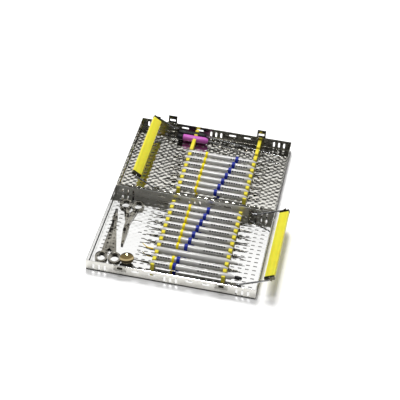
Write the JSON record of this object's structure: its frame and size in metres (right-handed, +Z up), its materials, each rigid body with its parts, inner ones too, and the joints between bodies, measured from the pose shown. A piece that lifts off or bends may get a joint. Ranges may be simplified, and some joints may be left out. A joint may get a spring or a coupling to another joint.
{
  "type": "dental instrument cassette",
  "caption": "Hinged two-tray perforated steel instrument cassette lying open, with silicone combs, swing-over hold-down bars, snap latches and a set of dental hand instruments.",
  "frame": {"origin": "centre of the base tray's underside", "axes": "+X along the hinge to the right, +Y from the front wall to the hinge and the lid, +Z up"},
  "size_m": [0.3058, 0.4201, 0.0386],
  "materials": {
    "stainless_polished": "polished",
    "stainless_satin": "satin",
    "silicone_yellow_clear": "satin",
    "silicone_yellow": "satin",
    "silicone_blue": "satin",
    "resin_grey": "satin",
    "resin_pink": "satin",
    "plastic_black": "satin",
    "plastic_yellow": "satin",
    "mirror_glass": "polished"
  },
  "bodies": {
    "base": {"base_tray": "stainless_polished", "base_comb_left": "silicone_yellow_clear", "base_channel_left": "stainless_satin", "base_comb_right": "silicone_yellow_clear", "base_channel_right": "stainless_satin", "base_handles": "resin_grey", "thick_handle": "resin_grey", "thick_probe": "plastic_yellow", "mirror_handle": "resin_grey", "mirror_handle_tip": "plastic_black", "base_tips": "stainless_satin", "base_yellow_rings": "silicone_yellow", "base_blue_rings": "silicone_blue", "mirror_head": "mirror_glass", "mirror_neck": "stainless_satin", "catch_left": "stainless_satin", "catch_right": "stainless_satin", "catch_rivets": "stainless_satin", "base_hinge_leaves": "stainless_satin", "base_bar_brackets": "stainless_satin", "needle_holder_fixed_half": "stainless_satin", "needle_holder_screw": "stainless_satin", "scissors_fixed_half": "stainless_satin", "scissors_screw": "stainless_satin"},
    "hinge_pins": {"hinge_pins": "stainless_satin"},
    "lid": {"lid_tray": "stainless_polished", "lid_comb_left": "silicone_yellow_clear", "lid_comb_right": "silicone_yellow_clear", "lid_channel_left": "stainless_satin", "lid_channel_right": "stainless_satin", "lid_handles": "resin_grey", "lid_tips": "stainless_satin", "lid_yellow_rings": "silicone_yellow", "lid_blue_rings": "silicone_blue", "pink_tool_grip": "resin_pink", "pink_tool_cap": "plastic_black", "black_tool_grip": "plastic_black", "pink_tool_shaft": "stainless_satin", "black_tool_shaft": "stainless_satin", "latch_bracket_left": "stainless_satin", "latch_bracket_right": "stainless_satin", "latch_pins": "stainless_satin", "lid_hinge_leaves": "stainless_satin", "lid_bar_brackets": "stainless_satin"},
    "base_bar": {"base_bar_wire": "stainless_satin", "base_bar_sleeve": "silicone_yellow", "base_bar_caps": "stainless_satin"},
    "lid_bar": {"lid_bar_wire": "stainless_satin", "lid_bar_sleeve": "silicone_yellow", "lid_bar_caps": "stainless_satin"},
    "latch_left": {"latch_left": "stainless_satin"},
    "latch_right": {"latch_right": "stainless_satin"},
    "needle_holder_half": {"needle_holder_moving_half": "stainless_satin"},
    "scissors_half": {"scissors_moving_half": "stainless_satin"}
  },
  "joints": [
    {"name": "pins_in_base_leaves", "type": "hinge", "parent": "base", "child": "hinge_pins", "pos_m": [0, 0.1036, 0.0193], "axis": [1, 0, 0], "range_deg": [0, 90]},
    {"name": "lid_on_pins", "type": "hinge", "parent": "hinge_pins", "child": "lid", "pos_m": [0, 0.1036, 0.0193], "axis": [1, 0, 0], "range_deg": [0, 90]},
    {"name": "base_bar_swing", "type": "hinge", "parent": "base", "child": "base_bar", "pos_m": [0.1, 0, 0.012], "axis": [0, -1, 0], "range_deg": [0, 154.15]},
    {"name": "lid_bar_swing", "type": "hinge", "parent": "lid", "child": "lid_bar", "pos_m": [-0.07, 0.2072, 0.012], "axis": [0, 1, 0], "range_deg": [0, 146.36]},
    {"name": "latch_left_swing", "type": "hinge", "parent": "lid", "child": "latch_left", "pos_m": [-0.083, 0.3122, 0.012], "axis": [-1, 0, 0], "range_deg": [0, 100]},
    {"name": "latch_right_swing", "type": "hinge", "parent": "lid", "child": "latch_right", "pos_m": [0.083, 0.3122, 0.012], "axis": [-1, 0, 0], "range_deg": [0, 100]},
    {"name": "needle_holder_open", "type": "hinge", "parent": "base", "child": "needle_holder_half", "pos_m": [-0.123, 0.029, 0.003], "axis": [0, 0, -1], "range_deg": [0, 2.5]},
    {"name": "scissors_open", "type": "hinge", "parent": "base", "child": "scissors_half", "pos_m": [-0.0995, 0.014, 0.003], "axis": [0, 0, -1], "range_deg": [0, 8]}
  ],
  "couplings": [
    {"joint": "base_bar_swing", "follows": "pins_in_base_leaves", "ratio": 1.7128},
    {"joint": "lid_bar_swing", "follows": "pins_in_base_leaves", "ratio": 1.6262}
  ]
}
